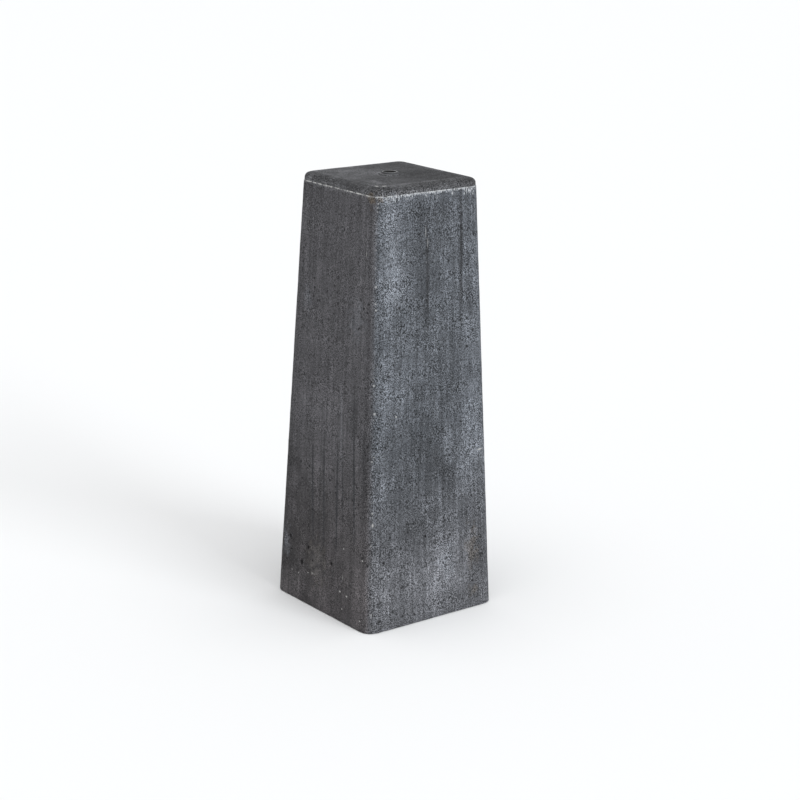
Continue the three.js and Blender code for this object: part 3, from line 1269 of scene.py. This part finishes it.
class ConcreteSkin:
    """Lays the concrete's nodes, from its ground colour up to the lime on the seam."""

    def __init__(self, finish: ConcreteFinish, effects: CastEffects, sizes: BlockSizes) -> None:
        """Start the material.

        Args:
            finish: Its colours and depths.
            effects: The shared groups.
            sizes: The block's sizes.
        """
        self.finish = finish
        self.effects = effects
        self.sizes = sizes
        self.material, self.sheet, self.place = start_material(finish.name)
        self.up = self.sheet.add("ShaderNodeSeparateXYZ", {0: self.place}).outputs[2]
        self.sides = self.sheet.use(effects.sides, {"Place": self.place}).outputs
        self.colour = self.sheet.lay(self.sides["Bloomed"], scene_colour(finish.plain), finish.bloomed)

    def build(self) -> bpy.types.Material:
        """Lay every layer and join the last one to the output.

        Returns:
            The material.
        """
        sheet, finish = self.sheet, self.finish
        self._ground()
        for tint in (Tint.BLOOM, Tint.DAMP, Tint.EARTH):
            self._tint(tint)
        self._grains()
        self._tint(Tint.WHITE)
        self._paint_hole_shade()
        self._lime()
        small, large = (
            sheet.times(self._pinholes(self.place, kind), kind.strength)
            for kind in (finish.small_pinholes, finish.large_pinholes)
        )
        pinholes = sheet.most(small, large)
        # The pinholes are darkened with painted shade.
        self._lay(pinholes, finish.pinhole_shade)
        rough = sheet.times(self._blotch(finish.rough_size), finish.rough_swing)
        grain = sheet.times(self._grain(finish.bump_size), finish.bump_grain)
        bump = sheet.add("ShaderNodeBump", {
            "Height": sheet.minus(grain, pinholes),
            "Strength": finish.bump_strength,
            "Distance": finish.bump_depth,
        })
        shader = sheet.add("ShaderNodeBsdfPrincipled", {
            "Base Color": self.colour,
            "Roughness": sheet.plus(rough, finish.rough - finish.rough_swing / 2),
            "Normal": bump.outputs[0],
            "Specular IOR Level": finish.shine,
        })
        sheet.add("ShaderNodeOutputMaterial", {"Surface": shader.outputs[0]})
        return self.material

    def _blotch(self, size: float) -> bpy.types.NodeSocket:
        """Place the blotches at one size."""
        return self.sheet.use(self.effects.mottle, {"Place": self.place, "Size": size}).outputs[0]

    def _by_bloom(self, plain: float, bloomed: float) -> bpy.types.NodeSocket:
        """Choose between a value for the plain faces and one for the bloomed."""
        return self.sheet.between(self.sides["Bloomed"], plain, bloomed)

    def _grain(self, size: float) -> bpy.types.NodeSocket:
        """Place the grain at one size."""
        return self.sheet.use(self.effects.grain, {"Place": self.place, "Size": size}).outputs[0]

    def _pinholes(self, place: Feed, kind: Pinholes) -> bpy.types.NodeSocket:
        """Place pinholes of one kind."""
        feeds = {"Place": place, "Spacing": kind.spacing, "Width": kind.width}
        return self.sheet.use(self.effects.pores, feeds).outputs[0]

    def _run_mask(self, kind: Runs) -> bpy.types.NodeSocket:
        """Place upright runs of one kind."""
        feeds = {"Place": self.place, "Width": kind.width, "Length": kind.length, "Shift": kind.shift}
        return self.sheet.spread(self.sheet.use(self.effects.runs, feeds).outputs[0], 0.3, 0.7)

    def _lay(self, share: Feed, display: Shade) -> None:
        """Lay a share of a display colour over what is there."""
        self.colour = self.sheet.lay(share, self.colour, display)

    def _scale(self, factor: Feed) -> None:
        """Multiply the colour by a number, but never down to black.

        Args:
            factor: The number.
        """
        scaled = self.sheet.vector("SCALE", self.colour)
        floor = self.sheet.most(factor, self.finish.darkest)
        self.sheet.tree.links.new(floor, scaled.inputs["Scale"])
        self.colour = scaled.outputs[0]

    def _vary(self, mask: Feed, amount: Feed) -> None:
        """Lighten and darken the colour by up to an amount, where a mask is far from 0.5."""
        swing = self.sheet.times(self.sheet.minus(mask, 0.5), amount)
        self._scale(self.sheet.plus(self.sheet.times(swing, 2.0), 1.0))

    def _mask(
        self, mark: Patch | Tone, ragged: float, fine: float = 150.0, lean: float = 0.0
    ) -> bpy.types.NodeSocket:
        """Place a mark's mask on its face.

        Args:
            mark: The mark.
            ragged: How uneven its edge is.
            fine: Clouds to a metre in its edge.
            lean: How far it moves along the face for each metre of height.

        Returns:
            The mask.
        """
        out_x, out_y = mark.face.value
        wide, tall, deep = mark.width * MM / 2, mark.tall * MM / 2, self.finish.patch_depth
        if mark.face is Face.TOP:
            reach, drift = (wide, tall, deep), (0.0, 0.0, 0.0)
        elif out_x:
            reach, drift = (deep, wide, tall), (-out_x * self.sizes.slope, lean, 0.0)
        else:
            reach, drift = (wide, deep, tall), (lean, -out_y * self.sizes.slope, 0.0)
        middle = self.sizes.on_face(mark.face, mark.along * MM, mark.height * MM)
        return self.sheet.use(self.effects.soft_patch, {
            "Place": self.place,
            "Rise": self.sheet.minus(self.up, middle.z),
            "Middle": tuple(middle),
            "Reach": reach,
            "Lean": drift,
            "Ragged": ragged,
            "Fine": fine,
        }).outputs[0]

    def _ground(self) -> None:
        """Give the concrete's colour its top, foot, broad tones with painted shade and highlight on the
        rim, blotches and runs.
        """
        sheet, finish, top = self.sheet, self.finish, self.sides["Top"]
        self._lay(top, finish.top)
        near_foot = sheet.spread(self.up, *finish.foot_fade)
        self.colour = sheet.blend(near_foot, self.colour, finish.foot, way="MULTIPLY")
        self._scale(self._gain())
        below = sheet.minus(1.0, top)
        uneven = sheet.between(top, 0.10, 0.17)
        for size in finish.blotch_sizes:
            self._vary(self._blotch(size), uneven)
        self._vary(self._run_mask(finish.broad_runs), sheet.times(below, 0.15))
        fine = self._run_mask(finish.fine_runs)
        self._vary(fine, sheet.times(below, self._by_bloom(0.12, 0.22)))

    def _gain(self) -> bpy.types.NodeSocket:
        """Tell how much light each part gives back beside the ground colour.

        Returns:
            The factor, from the arris's dark strip, painted shade on the rim's slope, painted light on
            its wall, a crease that is worn and carries a painted highlight, and the tones.
        """
        sheet, sides = self.sheet, self.sides
        # The crease between rim and flat top is lightened: partly wear, partly a painted highlight.
        worn_and_highlit_crease = sheet.times(sides["Crease"], sides["Top"])
        worn_and_highlit_crease = sheet.times(worn_and_highlit_crease, self._blotch(50 * MM))
        gain = sheet.between(sides["Dip"], 1.0, 0.80)
        # Painted shade: the rim's slope is darkened as if turned away from the light.
        painted_rim_shade = sheet.times(sides["Rim"], self._by_bloom(0.23, 0.42))
        gain = sheet.times(gain, sheet.minus(1.0, painted_rim_shade))
        gain = sheet.times(gain, sheet.between(worn_and_highlit_crease, 1.0, 1.9))
        # Painted light: the rim's wall is lightened on the plain faces and darkened a little on the
        # bloomed ones.
        wall = sheet.times(sides["Wall"], self._by_bloom(0.28, -0.06))
        gain = sheet.times(gain, sheet.plus(1.0, wall))
        for tone in TONES:
            mask = self._mask(tone, ragged=0.45, fine=30.0)
            gain = sheet.times(gain, sheet.between(mask, 1.0, tone.gain))
        return gain

    def _grains(self) -> None:
        """Lay the sand and paste of the skin, coarser to the eye where it is bloomed."""
        sheet = self.sheet
        grain = self._grain(self.finish.grain_size)
        patchy = sheet.between(self._blotch(30 * MM), 0.65, 1.3)
        patchy = sheet.times(patchy, sheet.between(self.sides["Top"], 1.0, 1.45))
        self._vary(grain, sheet.times(self._by_bloom(0.72, 1.06), patchy))
        aside = sheet.vector("ADD", self.place, (0.37, 0.11, 0.73)).outputs[0]
        salt = self._pinholes(aside, self.finish.salt_specks)
        self._lay(sheet.times(salt, self._by_bloom(0.16, 0.34)), self.finish.salt)

    def _tint(self, tint: Tint) -> None:
        """Lay the seen patches of one tint.

        Args:
            tint: The tint.
        """
        share = 0.0
        for patch in PATCHES[tint]:
            mask = self._mask(patch, patch.ragged, lean=patch.lean)
            share = self.sheet.most(share, self.sheet.times(mask, patch.strength))
        self._lay(share, tint.value)

    def _paint_hole_shade(self) -> None:
        """Darken the inside of the larger air holes with painted shade."""
        share = 0.0
        for hole in SEEN_HOLES:
            wide = hole.width * self.finish.hole_shade_spread
            spot = Tone(hole.face, hole.along, hole.height, wide, wide * hole.stretch)
            share = self.sheet.most(share, self._mask(spot, ragged=0.1, fine=400.0))
        self._lay(share, self.finish.hollow)

    def _lime(self) -> None:
        """Lay the seam's lime and the arris's pale specks over the rest."""
        sheet, finish = self.sheet, self.finish
        lime = sheet.use(self.effects.seam_lime, {"Place": self.place}).outputs
        self._lay(sheet.times(lime["Drips"], self._by_bloom(0.2, 0.68)), finish.drip)
        line = sheet.times(lime["Line"], self._by_bloom(0.8, 0.22))
        line = sheet.times(line, sheet.between(self.sides["Dip"], 1.0, 0.3))
        self._lay(line, finish.seam_line)
        kind = finish.chalk_specks
        specks = sheet.times(self._pinholes(self.place, kind), self.sides["Crest"])
        self._lay(sheet.times(specks, kind.strength), finish.chalk)


@dataclass(frozen=True)
class SteelFinish:
    """The socket's dull zinc plate, filmed with cement at the mouth, with painted shade down the bore.
    """

    effects: CastEffects
    mouth: float
    bore: float = 8.05 * MM
    name: str = "dull_zinc_plate"
    zinc: Shade = (176, 176, 176)
    film: Shade = (142, 142, 144)
    # Painted shade down the bore.
    inside: Shade = (22, 21, 20)
    outside: Shade = (80, 80, 82)

    def make(self) -> bpy.types.Material:
        """Build the material.

        Returns:
            The material.
        """
        material, sheet, place = start_material(self.name)
        film = sheet.use(self.effects.mottle, {"Place": place, "Size": 3.0 * MM}).outputs[0]
        grain = sheet.use(self.effects.grain, {"Place": place, "Size": 0.6 * MM}).outputs[0]
        colour = sheet.lay(film, scene_colour(self.zinc), self.film)
        up = sheet.add("ShaderNodeSeparateXYZ", {0: place}).outputs[2]
        level = sheet.vector("MULTIPLY", place, (1.0, 1.0, 0.0)).outputs[0]
        radius = sheet.vector("LENGTH", level).outputs["Value"]
        outer = sheet.spread(radius, self.bore, self.bore + 0.4 * MM)
        near_mouth = sheet.spread(up, self.mouth - 0.3 * MM, self.mouth - 0.1 * MM)
        # Below the mouth: painted shade inside the bore, a grey film on the outer wall.
        below = sheet.lay(outer, scene_colour(self.inside), self.outside)
        shader = sheet.add("ShaderNodeBsdfPrincipled", {
            "Base Color": sheet.blend(near_mouth, below, colour),
            "Roughness": sheet.between(grain, 0.42, 0.66),
            "Metallic": sheet.times(near_mouth, sheet.between(film, 0.5, 0.2)),
        })
        sheet.add("ShaderNodeOutputMaterial", {"Surface": shader.outputs[0]})
        return material


@dataclass(frozen=True)
class Sun:
    """One broad light from far away.

    Attributes:
        name: Its name.
        towards: Direction from the piece to it.
        strength: Its strength.
        spread: How wide it looks, in degrees.
        colour: Its colour.
    """

    name: str
    towards: tuple[float, float, float]
    strength: float
    spread: float
    colour: tuple[float, float, float]

    def shine(self) -> None:
        """Add it to the scene."""
        towards = Vector(self.towards)
        start_alone()
        bpy.ops.object.light_add(type="SUN", location=towards * 3)
        light = bpy.context.object
        light.name = self.name
        light.rotation_euler = towards.to_track_quat("Z", "Y").to_euler()
        light.data.energy = self.strength
        light.data.angle = math.radians(self.spread)
        light.data.color = self.colour


SUNS = (
    Sun("key", (0.16, -0.92, 0.34), 1.75, 30, (0.94, 0.975, 1.0)),
    Sun("overhead", (-0.1, -0.15, 1.0), 1.5, 60, (1.0, 1.0, 1.0)),
)


@dataclass(frozen=True)
class Studio:
    """The camera, the light and the floor."""

    middle_height: float
    azimuth: float = math.radians(-37.33)
    elevation: float = math.radians(15.733)
    distance: float = 2.28118
    aim_right: float = 0.015385
    aim_up: float = -0.01144
    roll: float = math.radians(0.935)
    lens: float = 89.83
    sensor: float = 36.0
    sight: float = 100.0
    sky: tuple[float, float, float, float] = (0.97, 0.985, 1.0, 1.0)
    sky_strength: float = 0.5
    floor_reach: float = 30.0
    floor_grey: float = 0.88

    def set_camera(self) -> None:
        """Put the camera where the photograph was taken from."""
        start_alone()
        level = math.cos(self.elevation)
        back = Vector((
            math.sin(self.azimuth) * level,
            -math.cos(self.azimuth) * level,
            math.sin(self.elevation),
        ))
        right = Vector((0, 0, 1)).cross(back).normalized()
        up = back.cross(right)
        middle = Vector((0, 0, self.middle_height))
        aim = middle + right * self.aim_right + up * self.aim_up
        bpy.ops.object.camera_add(location=middle + back * self.distance)
        camera = bpy.context.object
        camera.name = "view"
        turn = (aim - camera.location).to_track_quat("-Z", "Y")
        camera.rotation_euler = (turn @ Quaternion((0, 0, 1), self.roll)).to_euler()
        camera.data.lens = self.lens
        camera.data.sensor_width = self.sensor
        camera.data.clip_end = self.sight
        bpy.context.scene.camera = camera

    def set_light(self) -> None:
        """Light the piece softly, most from the right and from overhead."""
        for light in SUNS:
            light.shine()
        world = bpy.data.worlds.new("studio")
        world.use_nodes = True
        background = world.node_tree.nodes["Background"]
        background.inputs["Color"].default_value = self.sky
        background.inputs["Strength"].default_value = self.sky_strength
        bpy.context.scene.world = world
        bpy.context.scene.view_settings.view_transform = "Standard"

    def set_floor(self) -> None:
        """Lay a pale plain floor."""
        start_alone()
        bpy.ops.mesh.primitive_plane_add(size=2 * self.floor_reach)
        floor = bpy.context.object
        floor.name = "floor"
        material = bpy.data.materials.new("pale_floor")
        material.use_nodes = True
        shader = material.node_tree.nodes["Principled BSDF"]
        grey = self.floor_grey
        shader.inputs["Base Color"].default_value = (grey, grey, grey, 1.0)
        shader.inputs["Roughness"].default_value = 0.9
        shader.inputs["Specular IOR Level"].default_value = 0.1
        floor.data.materials.append(material)
        floor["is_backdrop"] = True


def write_sizes() -> None:
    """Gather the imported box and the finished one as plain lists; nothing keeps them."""
    def plain(box: Iterable[Iterable[float]]) -> list[list[float]]:
        """Turn a box into plain lists."""
        return [[float(value) for value in corner] for corner in box]

    {"cad": plain(CAD_BOX), "visual": plain(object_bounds())}


def main() -> None:
    """Build the post base, dress it and light it."""
    low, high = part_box("concrete_block")
    sizes = BlockSizes(base_width=high[0] - low[0], height=high[2] - low[2])
    studio = Studio(middle_height=sizes.height / 2)
    studio.set_camera()
    effects = CastEffects(sizes)

    block = CastBlock(sizes).build()
    block.data.materials.clear()
    block.data.materials.append(ConcreteSkin(ConcreteFinish(), effects, sizes).build())
    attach(block, "root")
    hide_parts("concrete_block")
    log.info("%s: %d faces", block.name, len(block.data.polygons))

    socket = bpy.data.objects["threaded_insert"]
    steel = SteelFinish(effects, mouth=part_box(socket.name)[1][2]).make()
    for slot in socket.material_slots:
        slot.material = steel
    log.info("%s: packed solid in %s", socket.name, steel.name)

    studio.set_light()
    studio.set_floor()
    start_alone()
    write_sizes()


if __name__ == "__main__":
    logging.basicConfig(level=logging.INFO, format="%(name)s: %(message)s")
    main()
